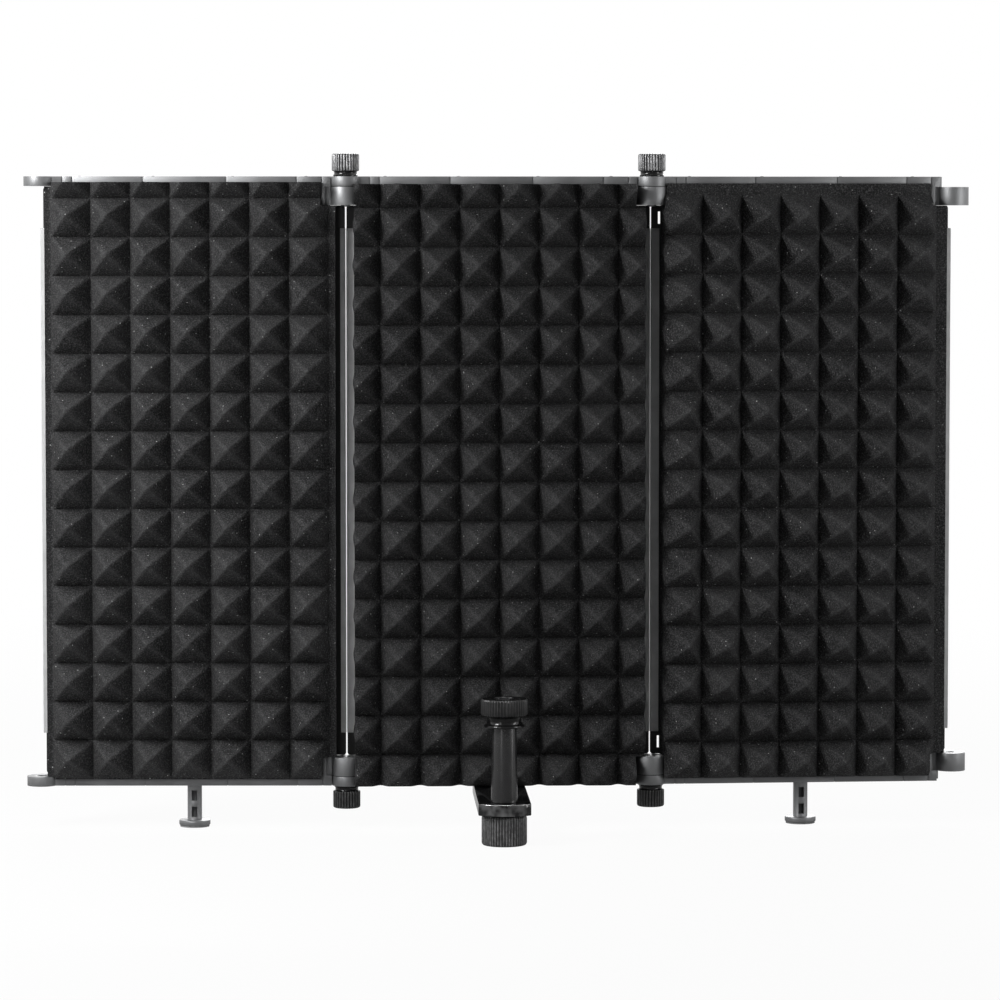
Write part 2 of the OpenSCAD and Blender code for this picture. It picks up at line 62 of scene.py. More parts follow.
# Sizes of the solids, in millimetres.
# A panel's own frame has x between the hinge axes, y behind them and z from mid-height.
HALF = 80.25        # from a panel's middle to a hinge axis
TOP = 160.0         # from a panel's middle to its upper edge
AXIS_Y = 72.0       # hinge axes
MID_Z = 182.0       # middle of the panels
SWING = {"left": -2.0, "center": 0.0, "right": 3.0}     # degrees
LUG_R = 7.8
RAIL_T = 5.0
RAIL_FRONT = 3.0    # before the hinge axes
RAIL_BACK = 6.5     # behind the hinge axes
PLATE_BACK = 7.5    # back faces of the plates, behind the hinge axes
LEG_BACK = 13.5     # back face of the bracket's leg, behind the hinge axes
FOOT_BACK = 1.5     # the feet, behind the hinge axes
THICK_LOW = 145.0   # lower end of a thick lug
BLOCK_REACH = 12.5  # from a hinge axis to the end of its corner block
SOFT = 0.2          # between the foam and what it lies beside


# Meshes

def new_object(name, mesh):
    piece = bpy.data.objects.new(name, mesh)
    bpy.context.scene.collection.objects.link(piece)
    return piece


def mesh_of(name, vertices, faces):
    mesh = bpy.data.meshes.new(name)
    mesh.from_pydata([Vector(v) for v in vertices], [], faces)
    mesh.update()
    return mesh


def settle(piece):
    """Turns a piece with its modifiers into a plain mesh."""
    view = bpy.context.evaluated_depsgraph_get()
    view.update()
    mesh = bpy.data.meshes.new_from_object(piece.evaluated_get(view), depsgraph=view)
    piece.modifiers.clear()
    old = piece.data
    piece.data = mesh
    if old.users == 0:
        bpy.data.meshes.remove(old)
    mesh.name = piece.name
    return piece


def outward(mesh):
    work = bmesh.new()
    work.from_mesh(mesh)
    bmesh.ops.remove_doubles(work, verts=work.verts, dist=1e-7)
    bmesh.ops.recalc_face_normals(work, faces=work.faces)
    work.to_mesh(mesh)
    work.free()


def smooth(mesh, angle=35):
    mesh.shade_smooth()
    mesh.set_sharp_from_angle(angle=math.radians(angle))


def dress(piece, finish, body, slot, *nodes):
    piece.data.materials.clear()
    piece.data.materials.append(finish)
    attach(piece, body)
    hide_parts(*nodes)


def panel_place(panel):
    side = PANELS.index(panel) - 1
    return (
        Matrix.Translation((side * HALF * MM, AXIS_Y * MM, MID_Z * MM))
        @ Matrix.Rotation(math.radians(SWING[panel]), 4, "Z")
        @ Matrix.Translation((side * HALF * MM, 0, 0))
    )


def softened(node, width, segments=2):
    """A copy of a solid with its sharp edges rounded off, as a coated or moulded piece has them."""
    mesh = frame["nodes"][node].data.copy()
    work = bmesh.new()
    work.from_mesh(mesh)
    bmesh.ops.remove_doubles(work, verts=work.verts, dist=2e-6)
    bmesh.ops.dissolve_limit(work, angle_limit=math.radians(0.5), verts=work.verts, edges=work.edges)
    work.to_mesh(mesh)
    work.free()
    piece = new_object(node + "_shaped", mesh)
    edge = piece.modifiers.new("rounded edges", "BEVEL")
    edge.width = width * MM
    edge.segments = segments
    edge.limit_method = "ANGLE"
    edge.angle_limit = math.radians(35)
    edge.use_clamp_overlap = True
    settle(piece)
    smooth(piece.data, 30)
    return piece


# Node trees

class Tree:
    """Adds nodes to a tree: a plain value sets a socket, an output is linked to it."""

    def __init__(self, tree):
        self.tree = tree

    def add(self, kind, *values, out=0, **settings):
        made = self.tree.nodes.new(kind)
        named = {}
        for key, value in settings.items():
            if hasattr(made, key):
                setattr(made, key, value)
            else:
                named[key] = value
        for k, value in enumerate(values):
            self.put(made.inputs[k], value)
        for key, value in named.items():
            self.put(made.inputs[key.replace("_", " ")], value)
        return made.outputs[out]

    def put(self, socket, value):
        if value is None:
            return
        if isinstance(value, bpy.types.NodeSocket):
            self.tree.links.new(value, socket)
        else:
            socket.default_value = value

    def math(self, operation, a, b=None, c=None):
        return self.add("ShaderNodeMath", a, b, c, operation=operation)


class Shape(Tree):
    """A Geometry Nodes tree with named inputs."""

    def __init__(self, name, **inputs):
        super().__init__(bpy.data.node_groups.new(name, "GeometryNodeTree"))
        face = self.tree.interface
        face.new_socket("Geometry", in_out="INPUT", socket_type="NodeSocketGeometry")
        self.ids = {}
        for key, value in inputs.items():
            kind = {int: "Int", float: "Float", type(None): "Material"}[type(value)]
            socket = face.new_socket(key.replace("_", " "), in_out="INPUT", socket_type="NodeSocket" + kind)
            if value is not None:
                socket.default_value = value
            self.ids[key] = socket.identifier
        face.new_socket("Geometry", in_out="OUTPUT", socket_type="NodeSocketGeometry")
        self.given = self.tree.nodes.new("NodeGroupInput").outputs
        self.result = self.tree.nodes.new("NodeGroupOutput")

    def value(self, key):
        return self.given[key.replace("_", " ")]

    def store(self, geometry, name, value):
        marked = self.tree.nodes.new("GeometryNodeStoreNamedAttribute")
        marked.data_type, marked.domain = "FLOAT", "POINT"
        self.put(marked.inputs["Geometry"], geometry)
        self.put(marked.inputs["Name"], name)
        self.put(marked.inputs["Value"], value)
        return marked.outputs[0]

    def end(self, geometry):
        whole = self.add("GeometryNodeRealizeInstances", geometry)
        dressed = self.add("GeometryNodeSetMaterial", whole, Material=self.value("finish"))
        self.put(self.result.inputs[0], dressed)

    def make(self, piece, finish, **values):
        modifier = piece.modifiers.new(self.tree.name, "NODES")
        modifier.node_group = self.tree
        modifier[self.ids["finish"]] = finish
        for key, value in values.items():
            modifier[self.ids[key]] = value
        return settle(piece)


# Finishes

class Finish(Tree):
    def __init__(self, name, colour, roughness, **sockets):
        self.material = bpy.data.materials.new(name)
        self.material.use_nodes = True
        super().__init__(self.material.node_tree)
        self.shader = self.tree.nodes["Principled BSDF"]
        self.put(self.shader.inputs["Base Color"], (*colour, 1))
        self.put(self.shader.inputs["Roughness"], roughness)
        for key, value in sockets.items():
            self.put(self.shader.inputs[key.replace("_", " ")], value)
        self.place = self.add("ShaderNodeTexCoord", out="Object")

    def set(self, socket, value):
        self.put(self.shader.inputs[socket], value)

    def noise(self, scale, detail=3.0, roughness=0.55):
        return self.add("ShaderNodeTexNoise", Vector=self.place, Scale=scale, Detail=detail,
                        Roughness=roughness)

    def range(self, value, low, high, to_low=0.0, to_high=1.0):
        return self.add("ShaderNodeMapRange", value, low, high, to_low, to_high)

    def mix(self, share, a, b):
        made = self.tree.nodes.new("ShaderNodeMix")
        made.data_type = "RGBA"
        self.put(made.inputs[0], share)
        self.put(made.inputs[6], (*a, 1) if isinstance(a, tuple) else a)
        self.put(made.inputs[7], (*b, 1) if isinstance(b, tuple) else b)
        return made.outputs[2]

    def bump(self, height, strength, distance):
        self.set("Normal", self.add("ShaderNodeBump", Strength=strength, Distance=distance, Height=height))


def foam_finish():
    """Open-cell foam: grain, pale specks, ridges made paler (frayed cut foam in part, painted highlight in
    part), a flat margin darkened as painted shade, and a pad's whole foam darkened by its share of painted
    shade.
    """
    f = Finish("charcoal_foam", (0.03, 0.03, 0.03), 1.0, Specular_IOR_Level=0.1)
    grain = f.noise(1300, 2.0, 0.7)
    patch = f.noise(28, 3.0)
    cells = f.tree.nodes.new("ShaderNodeTexVoronoi")
    f.put(cells.inputs["Vector"], f.place)
    f.put(cells.inputs["Scale"], 430)
    lucky = f.add("ShaderNodeSeparateColor", cells.outputs["Color"])
    near = f.range(cells.outputs["Distance"], 0.2, 0.06)
    speck = f.math("MULTIPLY", near, f.range(lucky, 0.8, 1.0))
    tone = f.mix(f.range(patch, 0.35, 0.65), (0.019, 0.019, 0.0195), (0.03, 0.03, 0.0305))
    tone = f.mix(f.range(grain, 0.48, 0.72), tone, (0.1, 0.1, 0.102))
    # Paler ridges: frayed cut foam in part, painted highlight in part.
    ridge = f.add("ShaderNodeAttribute", attribute_name="ridge", out="Fac")
    tone = f.mix(f.math("MULTIPLY", ridge, 0.5), tone, (0.085, 0.085, 0.087))
    # Painted shade: the flat margin beside the first column is darkened.
    margin = f.add("ShaderNodeAttribute", attribute_name="margin", out="Fac")
    tone = f.mix(f.math("MULTIPLY", margin, 0.4), tone, (0.006, 0.006, 0.0062))
    # Painted shade: a pad's whole foam is darkened by its share.
    dim = f.add("ShaderNodeAttribute", attribute_name="dim", out="Fac")
    f.set("Base Color", f.mix(dim, f.mix(speck, tone, (0.5, 0.5, 0.5)), (0.0, 0.0, 0.0)))
    pores = f.add("ShaderNodeTexVoronoi", Vector=f.place, Scale=1100)
    f.bump(f.math("ADD", grain, pores), 0.6, 0.0007)
    return f.material


def coated_finish(name, colour, roughness, fleck=0.12, grain=0.00004, **sockets):
    """Coated or moulded surface: slight mottling and a fine grain."""
    f = Finish(name, colour, roughness, **sockets)
    cloud = f.noise(90, 3.0)
    fine = f.noise(2600, 2.0)
    pale = tuple(min(1, c * (1 + fleck)) for c in colour)
    deep = tuple(c * (1 - fleck) for c in colour)
    f.set("Base Color", f.mix(f.range(cloud, 0.3, 0.7), deep, pale))
    f.set("Roughness", f.range(f.math("ADD", cloud, fine), 0.7, 1.3, roughness - 0.06, roughness + 0.06))
    f.bump(fine, 0.35, grain)
    return f.material


def metal_finish(name, colour, roughness):
    """Bare metal with fine brush lines."""
    f = Finish(name, colour, roughness, Metallic=1.0)
    brushed = f.add("ShaderNodeMapping", f.place, Scale=(60.0, 60.0, 2400.0))
    lines = f.add("ShaderNodeTexNoise", Vector=brushed, Scale=1.0, Detail=3.0)
    f.set("Roughness", f.range(lines, 0.3, 0.7, roughness - 0.08, roughness + 0.1))
    f.bump(lines, 0.15, 0.00003)
    return f.material


def ribbed_finish(name, crest, metallic):
    """Glossy black, with paler ribs whose grooves are darkened, partly as dirt and partly as painted shade."""
    f = Finish(name, crest, 0.3)
    rib = f.add("ShaderNodeAttribute", attribute_name="ribbed", out="Fac")
    groove = f.add("ShaderNodeAttribute", attribute_name="groove", out="Fac")
    cloud = f.noise(500, 3.0)
    deep = (0.006, 0.006, 0.0062)
    pale = f.mix(f.range(cloud, 0.35, 0.65), tuple(c * 0.6 for c in crest), tuple(c * 1.4 for c in crest))
    # Darkened grooves: dirt in part, painted shade in part.
    pale = f.mix(f.range(groove, 0.25, 0.8), pale, deep)
    f.set("Base Color", f.mix(rib, deep, pale))
    f.set("Metallic", f.math("MULTIPLY", rib, metallic))
    f.set("Roughness", f.math("MULTIPLY_ADD", rib, 0.2, f.range(cloud, 0.3, 0.7, 0.1, 0.2)))
    return f.material


def gloss_finish():
    """Gloss black paint, with a painted reflection as paler patches on its front faces and a painted highlight
    along the front upper edge, which turns pale and metallic there.
    """
    black = (0.004, 0.004, 0.0043)
    f = Finish("gloss_black", black, 0.13, Coat_Weight=0.6, Coat_Roughness=0.05)
    facing = f.tree.nodes.new("ShaderNodeSeparateXYZ")
    f.put(facing.inputs[0], f.add("ShaderNodeTexCoord", out="Normal"))
    y, z = facing.outputs["Y"], facing.outputs["Z"]
    # Painted highlight: the front upper edge turns pale and metallic, with less coat.
    slant = f.math("MULTIPLY", f.range(z, 0.35, 0.55), f.range(z, 0.97, 0.85))
    painted_highlight = f.math("MULTIPLY", slant, f.range(y, -0.15, -0.35))
    painted_highlight = f.math("MULTIPLY", painted_highlight, f.range(f.noise(160, 3.0), 0.3, 0.5, 0.4, 1.0))
    # Painted reflection: paler grey patches on the faces that look to the front.
    painted_reflection = f.math("MULTIPLY", f.range(y, -0.7, -0.95), f.range(f.noise(120, 2.0), 0.35, 0.6))
    paint = f.mix(painted_reflection, black, (0.16, 0.16, 0.162))
    f.set("Base Color", f.mix(painted_highlight, paint, (0.8, 0.8, 0.8)))
    f.set("Metallic", painted_highlight)
    f.set("Coat Weight", f.range(painted_highlight, 0.0, 1.0, 0.6, 0.0))
    return f.material


FOAM = foam_finish()
RAIL = coated_finish("grey_coat", (0.26, 0.263, 0.268), 0.5, 0.08, Metallic=0.8)
TRIM = coated_finish("grey_trim", (0.5, 0.502, 0.505), 0.6, 0.12, Specular_IOR_Level=0.2)
PLATE = coated_finish("dark_powder_coat", (0.008, 0.008, 0.0084), 0.55, 0.2, 0.00008)
GLOSS = gloss_finish()
BLACK = coated_finish("satin_black", (0.02, 0.02, 0.0204), 0.22, 0.15, 0.00002, Specular_IOR_Level=0.8)
KNOB_COAT = ribbed_finish("knob_black", (0.28, 0.28, 0.285), 0.6)
# Painted shade: a darker copy of the knob finish, for the lower thumbscrew knobs.
SHADED_KNOB_COPY = ribbed_finish("knob_black_unworn", (0.045, 0.045, 0.0455), 0.0)
KNURL = ribbed_finish("knurled_black", (0.022, 0.022, 0.0225), 0.0)
# Painted light: a paler copy of the knurl finish, for the stand knob.
LIT_KNURL_COPY = ribbed_finish("worn_knurl", (0.12, 0.12, 0.1215), 0.0)
RUBBER = coated_finish("foot_rubber", (0.24, 0.242, 0.245), 0.8, 0.2)
NYLON = coated_finish("black_nylon", (0.012, 0.012, 0.012), 0.6, 0.2)
STEEL = metal_finish("zinc_steel", (0.56, 0.56, 0.57), 0.3)
DARK_STEEL = metal_finish("blackened_steel", (0.09, 0.09, 0.092), 0.38)


# Foam pads: a flat sheet, lying face up, that the tree raises into pyramids and closes all round

def pyramid_tree():
    t = Shape("pyramid_foam", cell_width=20.7 * MM, cell_height=20.3 * MM, first_column=0.0, first_row=0.0,
              columns=7, rows=15, peak=17 * MM, lean_left=0.5, lean_right=0.5, lean_top=0.5, lean_bottom=0.5,
              soft_ridge=0.12, rough=0.0003, back=-RAIL_BACK * MM, dim=0.0, seed=1, finish=None)
    at = t.add("GeometryNodeInputPosition")
    spot = t.tree.nodes.new("ShaderNodeSeparateXYZ")
    t.put(spot.inputs[0], at)
    from_left = t.math("SUBTRACT", spot.outputs["X"], t.value("first_column"))
    from_top = t.math("SUBTRACT", t.value("first_row"), spot.outputs["Y"])
    across = t.math("DIVIDE", from_left, t.value("cell_width"))
    down = t.math("DIVIDE", from_top, t.value("cell_height"))

    def slope(u, count, first_lean, last_lean):
        """Rises from 0 at a groove to 1 at the tip, which leans from one end of the row to the other."""
        along = t.math("DIVIDE", t.math("ADD", t.math("FLOOR", u), 0.5), count)
        tip = t.add("ShaderNodeMapRange", along, 0.0, 1.0, first_lean, last_lean)
        part = t.math("FRACT", u)
        falling = t.math("DIVIDE", t.math("SUBTRACT", 1.0, part), t.math("SUBTRACT", 1.0, tip))
        return t.math("MINIMUM", t.math("DIVIDE", part, tip), falling)

    def inside(u, count):
        return t.math("MULTIPLY", t.math("GREATER_THAN", u, 0.0), t.math("LESS_THAN", u, count))

    sideways = slope(across, t.value("columns"), t.value("lean_left"), t.value("lean_right"))
    upright = slope(down, t.value("rows"), t.value("lean_top"), t.value("lean_bottom"))
    rise = t.math("SMOOTH_MIN", sideways, upright, t.value("soft_ridge"))
    rise = t.math("SMOOTH_MIN", rise, 0.97, t.value("soft_ridge"))
    rise = t.math("MAXIMUM", rise, 0.0)
    cell = t.add("ShaderNodeCombineXYZ", t.math("FLOOR", across), t.math("FLOOR", down), t.value("seed"))
    chance = t.add("ShaderNodeTexWhiteNoise", Vector=cell, noise_dimensions="3D")
    uneven = t.math("MULTIPLY_ADD", chance, 0.05, 0.96)
    full = t.math("MULTIPLY", inside(across, t.value("columns")), inside(down, t.value("rows")))
    height = t.math("MULTIPLY", t.math("MULTIPLY", rise, uneven), full)
    height = t.math("MULTIPLY", height, t.value("peak"))
    torn = t.add("ShaderNodeTexNoise", Vector=at, Scale=420.0, Detail=2.0)
    torn = t.math("MULTIPLY", t.math("SUBTRACT", torn, 0.5), t.value("rough"))
    edge = t.math("ABSOLUTE", t.math("SUBTRACT", sideways, upright))
    edge = t.add("ShaderNodeMapRange", edge, 0.0, 0.2, 1.0, 0.0)
    # The ridge share marks where the foam finish pales the ridges, in part as a painted highlight.
    marked = t.store(t.value("Geometry"), "ridge", t.math("MULTIPLY", t.math("MULTIPLY", edge, rise), full))
    # The margin share marks where the foam finish paints shade.
    marked = t.store(marked, "margin", t.math("LESS_THAN", across, 0.0))
    # Painted shade share for a whole pad, read by the foam finish.
    marked = t.store(marked, "dim", t.value("dim"))
    front = t.add("GeometryNodeSetPosition", marked,
                  Offset=t.add("ShaderNodeCombineXYZ", 0.0, 0.0, t.math("ADD", height, torn)))

    def rim():
        return t.math("LESS_THAN", t.add("GeometryNodeInputMeshEdgeNeighbors"), 1.5)

    wall = t.tree.nodes.new("GeometryNodeExtrudeMesh")
    wall.mode = "EDGES"
    t.put(wall.inputs["Mesh"], front)
    t.put(wall.inputs["Selection"], rim())
    t.put(wall.inputs["Offset"], (0.0, 0.0, -1.0))
    t.put(wall.inputs["Offset Scale"], 0.001)
    flat = t.add("ShaderNodeCombineXYZ", spot.outputs["X"], spot.outputs["Y"], t.value("back"))
    walled = t.add("GeometryNodeSetPosition", wall.outputs["Mesh"], Selection=wall.outputs["Top"],
                   Position=flat)
    outline = t.add("GeometryNodeMeshToCurve", walled, rim())
    fill = t.tree.nodes.new("GeometryNodeFillCurve")
    fill.mode = "NGONS"
    t.put(fill.inputs["Curve"], outline)
    both = t.tree.nodes.new("GeometryNodeJoinGeometry")
    t.put(both.inputs[0], t.add("GeometryNodeSetPosition", fill.outputs[0], Position=flat))
    t.put(both.inputs[0], walled)
    closed = t.add("GeometryNodeMergeByDistance", both.outputs[0], Distance=1e-6)
    t.end(closed)
    return t


# Each pad's outline, the notch beside its right lugs, the painted shade that darkens its whole foam, its grid
# of pyramids, and where the tips lie in their cells at the ends of the grid (0.5 is the middle)
PADS = {
    "left": dict(x=(-76.95, 74.95), z=(-156.5, 157.0), notch=12.9, dim=0.0,
                 grid=dict(cell_width=20.7, cell_height=20.3, first_column=-73.6, first_row=169.0),
                 columns=7, rows=16,
                 lean=dict(lean_left=0.4, lean_right=0.47, lean_top=0.43, lean_bottom=0.45)),
    "center": dict(x=(-75.85, 76.55), z=(-159.6, 156.0), notch=8.55, dim=0.18,
                   grid=dict(cell_width=20.85, cell_height=20.5, first_column=-83.2, first_row=164.2),
                   columns=8, rows=16,
                   lean=dict(lean_left=0.44, lean_right=0.47, lean_top=0.46, lean_bottom=0.48)),
    "right": dict(x=(-73.85, 75.95), z=(-156.7, 156.4), notch=12.9, dim=0.0,
                  grid=dict(cell_width=20.7, cell_height=20.56, first_column=-74.6, first_row=150.4),
                  columns=7, rows=15,
                  lean=dict(lean_left=0.62, lean_right=0.64, lean_top=0.46, lean_bottom=0.48)),
}
FOAM_FRONT = -4.5   # the grooves' place before the hinge axes
STEPS = 16          # faces across one pyramid
CLOSEST = 0.25      # between two lines of the sheet


def lines(first, pitch, low, high, extra):
    """Lines from low to high that meet every groove of the grid, and the extra places."""
    step = pitch / STEPS
    k = math.ceil((low - first) / step)
    found = [low, high, *extra]
    while first + k * step < high:
        found.append(first + k * step)
        k += 1
    found.sort()
    kept = [found[0]]
    for value in found[1:]:
        if value - kept[-1] > CLOSEST:
            kept.append(value)
        elif value in (high, *extra):
            kept[-1] = value
    return kept


def foam_sheet(panel, pad):
    notch_x = HALF - pad["notch"]
    notch_z = THICK_LOW - SOFT
    grid = pad["grid"]
    xs = lines(grid["first_column"], grid["cell_width"], *pad["x"], [notch_x])
    zs = lines(grid["first_row"], grid["cell_height"], *pad["z"], [-notch_z, notch_z])
    index, points, faces = {}, [], []

    def corner(i, j):
        if (i, j) not in index:
            index[i, j] = len(points)
            points.append((xs[i] * MM, zs[j] * MM, -FOAM_FRONT * MM))
        return index[i, j]

    for i in range(len(xs) - 1):
        for j in range(len(zs) - 1):
            if xs[i] >= notch_x - 0.01 and not -notch_z - 0.01 <= zs[j] < notch_z - 0.01:
                continue
            faces.append((corner(i, j), corner(i + 1, j), corner(i + 1, j + 1), corner(i, j + 1)))
    return mesh_of(panel + "_foam", points, faces)


def drum(centre, radius, low, high, axis, count=40):
    """A closed cylinder, in millimetres, for cutting."""
    turns = [2 * math.pi * k / count for k in range(count)]
    ring = [(radius * math.cos(a), radius * math.sin(a)) for a in turns]
    points = []
    for level in (low, high):
        for a, b in ring:
            p = (centre[0] + a, centre[1] + b, level) if axis == "Z" else (centre[0] + a, level, centre[1] + b)
            points.append([c * MM for c in p])
    faces = [tuple(range(count)), tuple(range(count, 2 * count))]
    faces += [(k, (k + 1) % count, count + (k + 1) % count, count + k) for k in range(count)]
    return points, faces


def block(low, high):
    """A closed box, in millimetres, for cutting."""
    points = [[(high if (k >> a) & 1 else low)[a] * MM for a in range(3)] for k in range(8)]
    faces = [(0, 1, 3, 2), (4, 5, 7, 6), (0, 1, 5, 4), (2, 3, 7, 6), (0, 2, 6, 4), (1, 3, 7, 5)]
    return points, faces


BRACKET_SCREWS = (39.28, 60.4)      # heights in the frame
NUT_ROOM = dict(radius=5.6, low=1.3, high=9.0, axis="Y")
FOOT_ROOM = dict(radius=4.55, low=-TOP - 6, high=-TOP + 26.2, axis="Z")
LUG_ROOM = 0.75
TRIM_ROOM = (-82, 5.6, -133.2), (-75.1, 9.0, 133.2)

# Where the cutters for lugs, corner blocks and rails end beyond the foam, each in planes of its own
LUG_CUT_TOP = TOP + 4
BLOCK_CUT = dict(side=83, back=11, top=TOP + 4.5)
RAIL_CUT = dict(side=84, back=12, top=TOP + 5)


def foam_cutter(panel):
    """The hollows behind the foam.

    They leave room for rails, lugs, a covered corner block, the left edge trim, and the foot's tube or the
    bracket's nuts.
    """
    shapes = [block(*TRIM_ROOM)]
    front = -RAIL_FRONT - SOFT
    lug_low = (TOP - RAIL_T if panel == "left" else THICK_LOW) - SOFT
    for sign in (-1, 1):
        low, high = sorted((sign * lug_low, sign * LUG_CUT_TOP))
        shapes.append(drum((-HALF, 0), LUG_R + LUG_ROOM, low, high, "Z"))
        if panel == "center":
            low, high = sorted((sign * (THICK_LOW - 2 * SOFT), sign * BLOCK_CUT["top"]))
            left = HALF - BLOCK_REACH - 2 * SOFT
            shapes.append(block((left, front, low), (BLOCK_CUT["side"], BLOCK_CUT["back"], high)))
        low, high = sorted((sign * (TOP - RAIL_T - SOFT), sign * RAIL_CUT["top"]))
        shapes.append(block((-RAIL_CUT["side"], front, low), (RAIL_CUT["side"], RAIL_CUT["back"], high)))
    if panel == "center":
        shapes += [drum((0, z - MID_Z), **NUT_ROOM) for z in BRACKET_SCREWS]
    else:
        shapes.append(drum((0, FOOT_BACK), **FOOT_ROOM))
    points, faces = [], []
    for p, f in shapes:
        faces += [tuple(k + len(points) for k in face) for face in f]
        points += p
    mesh = mesh_of("hollows", points, faces)
    outward(mesh)
    return new_object("hollows", mesh)


pyramids = pyramid_tree()
for number, (panel, pad) in enumerate(PADS.items()):
    piece = new_object(panel + "_foam", foam_sheet(panel, pad))
    pyramids.make(piece, FOAM, columns=pad["columns"], rows=pad["rows"], seed=number + 1, dim=pad["dim"],
                  **pad["lean"], **{key: value * MM for key, value in pad["grid"].items()})
    piece.data.transform(Matrix.Rotation(math.pi / 2, 4, "X"))
    outward(piece.data)
    cutter = foam_cutter(panel)
    cut = piece.modifiers.new("hollows", "BOOLEAN")
    cut.object = cutter
    cut.solver = "EXACT"
    cut.use_self = True
    settle(piece)
    bpy.data.objects.remove(cutter)
    piece.data.transform(panel_place(panel))
    smooth(piece.data, 50)
    dress(piece, FOAM, BODY[panel], "foam", panel + "_foam_pad")


# Coated metal and moulded pieces: the solids with rounded edges
for panel in PANELS:
    for end in ("top", "bottom"):
        node = f"{panel}_{end}_rail"
        dress(softened(node, 0.45), RAIL, BODY[panel], "rail", node)
    node = panel + "_edge_trims"
    dress(softened(node, 0.2, 1), TRIM, BODY[panel], "trim", node)
for side in ("left", "right"):
    dress(softened(side + "_foot", 0.3), RAIL, side + "_foot", "rail", side + "_foot")
dress(softened("bracket", 0.9, 3), GLOSS, "center_panel", "gloss_black", "bracket")


# Turned pieces: a profile spun round the z axis, with ribs and threads raised by a tree

def lathe(name, profile, count, closed):
    """profile is (radius, height, ribbed, threaded) in millimetres, from bottom to top outside."""
    points, faces, ribbed, threaded = [], [], [], []
    rows = len(profile)
    for radius, height, rib, thread in profile:
        for k in range(count):
            a = 2 * math.pi * k / count
            points.append((radius * math.cos(a) * MM, radius * math.sin(a) * MM, height * MM))
            ribbed.append(rib)
            threaded.append(thread)
    for i in range(rows if closed else rows - 1):
        low, high = i * count, (i + 1) % rows * count
        for k in range(count):
            n = (k + 1) % count
            faces.append((low + k, low + n, high + n, high + k))
    if not closed:
        faces.append(tuple(reversed(range(count))))
        faces.append(tuple(range((rows - 1) * count, rows * count)))
    mesh = mesh_of(name, points, faces)
    for key, values in (("ribbed", ribbed), ("threaded", threaded)):
        mesh.attributes.new(key, "FLOAT", "POINT").data.foreach_set("value", values)
    return mesh


def turned_tree():
    t = Shape("knurl_and_thread", ribs=36, rib_depth=0.4 * MM, pitch=0.94 * MM, thread_depth=0.5 * MM,
              finish=None)
    at = t.add("GeometryNodeInputPosition")
    spot = t.tree.nodes.new("ShaderNodeSeparateXYZ")
    t.put(spot.inputs[0], at)
    angle = t.math("ARCTAN2", spot.outputs["Y"], spot.outputs["X"])
    wave = t.math("SINE", t.math("MULTIPLY", angle, t.math("DIVIDE", t.value("ribs"), 2.0)))
    valley = t.math("SUBTRACT", 1.0, t.math("ABSOLUTE", wave))
    rib = t.add("GeometryNodeInputNamedAttribute", "ribbed", data_type="FLOAT")
    sunk = t.math("MULTIPLY", t.math("MULTIPLY", valley, t.value("rib_depth")), rib)
    # The groove share marks where the knob finishes darken the grooves, in part as painted shade.
    marked = t.store(t.value("Geometry"), "groove", t.math("MULTIPLY", valley, rib))
    along = t.math("DIVIDE", spot.outputs["Z"], t.value("pitch"))
    crest = t.math("PINGPONG", t.math("SUBTRACT", along, t.math("DIVIDE", angle, 2 * math.pi)), 0.5)
    thread = t.add("GeometryNodeInputNamedAttribute", "threaded", data_type="FLOAT")
    raised = t.math("MULTIPLY", t.math("MULTIPLY", crest, t.value("thread_depth")), thread)
    out = t.add("ShaderNodeCombineXYZ", spot.outputs["X"], spot.outputs["Y"], 0.0)
    out = t.add("ShaderNodeVectorMath", out, operation="NORMALIZE")
    move = t.tree.nodes.new("ShaderNodeVectorMath")
    move.operation = "SCALE"
    t.put(move.inputs[0], out)
    t.put(move.inputs["Scale"], t.math("SUBTRACT", raised, sunk))
    t.end(t.add("GeometryNodeSetPosition", marked, Offset=move.outputs[0]))
    return t


turned = turned_tree()


def plain(*pairs):
    return [(r, h, 0.0, 0.0) for r, h in pairs]


def ribbed(*pairs):
    return [(r, h, 1.0, 0.0) for r, h in pairs]


def threaded(radius, low, high, direction, rows):
    """A threaded stretch; direction is 1 for a thread that stands out and -1 for one that stands in."""
    return [(radius, low + (high - low) * k / rows, 0.0, float(direction)) for k in range(rows + 1)]


def turn(node, profile, count, closed, finish, body, slot, angle=40, place=None, **values):
    """A turned piece in place of a node."""
    name = node + "_turned"
    piece = new_object(name, lathe(name, profile, count, closed))
    turned.make(piece, finish, **values)
    if place:
        piece.data.transform(place)
    outward(piece.data)
    smooth(piece.data, angle)
    dress(piece, finish, body, slot, node)


KNOB_RIBS = 28
KNOB = [*plain((2.7, 0.02), (6.25, 0.02), (6.45, 0.2), (6.48, 0.7), (6.25, 0.95), (6.02, 1.3), (5.98, 1.8),
               (6.03, 2.3), (6.3, 2.7), (6.65, 2.85)),
        *ribbed((6.95, 2.95), (7.15, 3.2), (7.2, 3.6), (7.2, 10.8), (7.1, 11.3), (6.8, 11.7)),
        *plain((6.3, 11.9), (4.0, 12.0), (0.01, 12.0))]
for side, x in (("left", -HALF), ("right", HALF)):
    # The lower knobs take the darker copy, which is painted shade.
    for end, sign, coat in (("top", 1, KNOB_COAT), ("bottom", -1, SHADED_KNOB_COPY)):
        place = Matrix.Translation((x * MM, AXIS_Y * MM, (MID_Z + sign * TOP) * MM))
        if sign < 0:
            place = place @ Matrix.Rotation(math.pi, 4, "X")
        turn(f"{side}_{end}_hinge_knob", KNOB, KNOB_RIBS * 10, False, coat, f"{side}_{end}_thumbscrew", "knob",
             place=place, ribs=KNOB_RIBS, rib_depth=0.6 * MM)

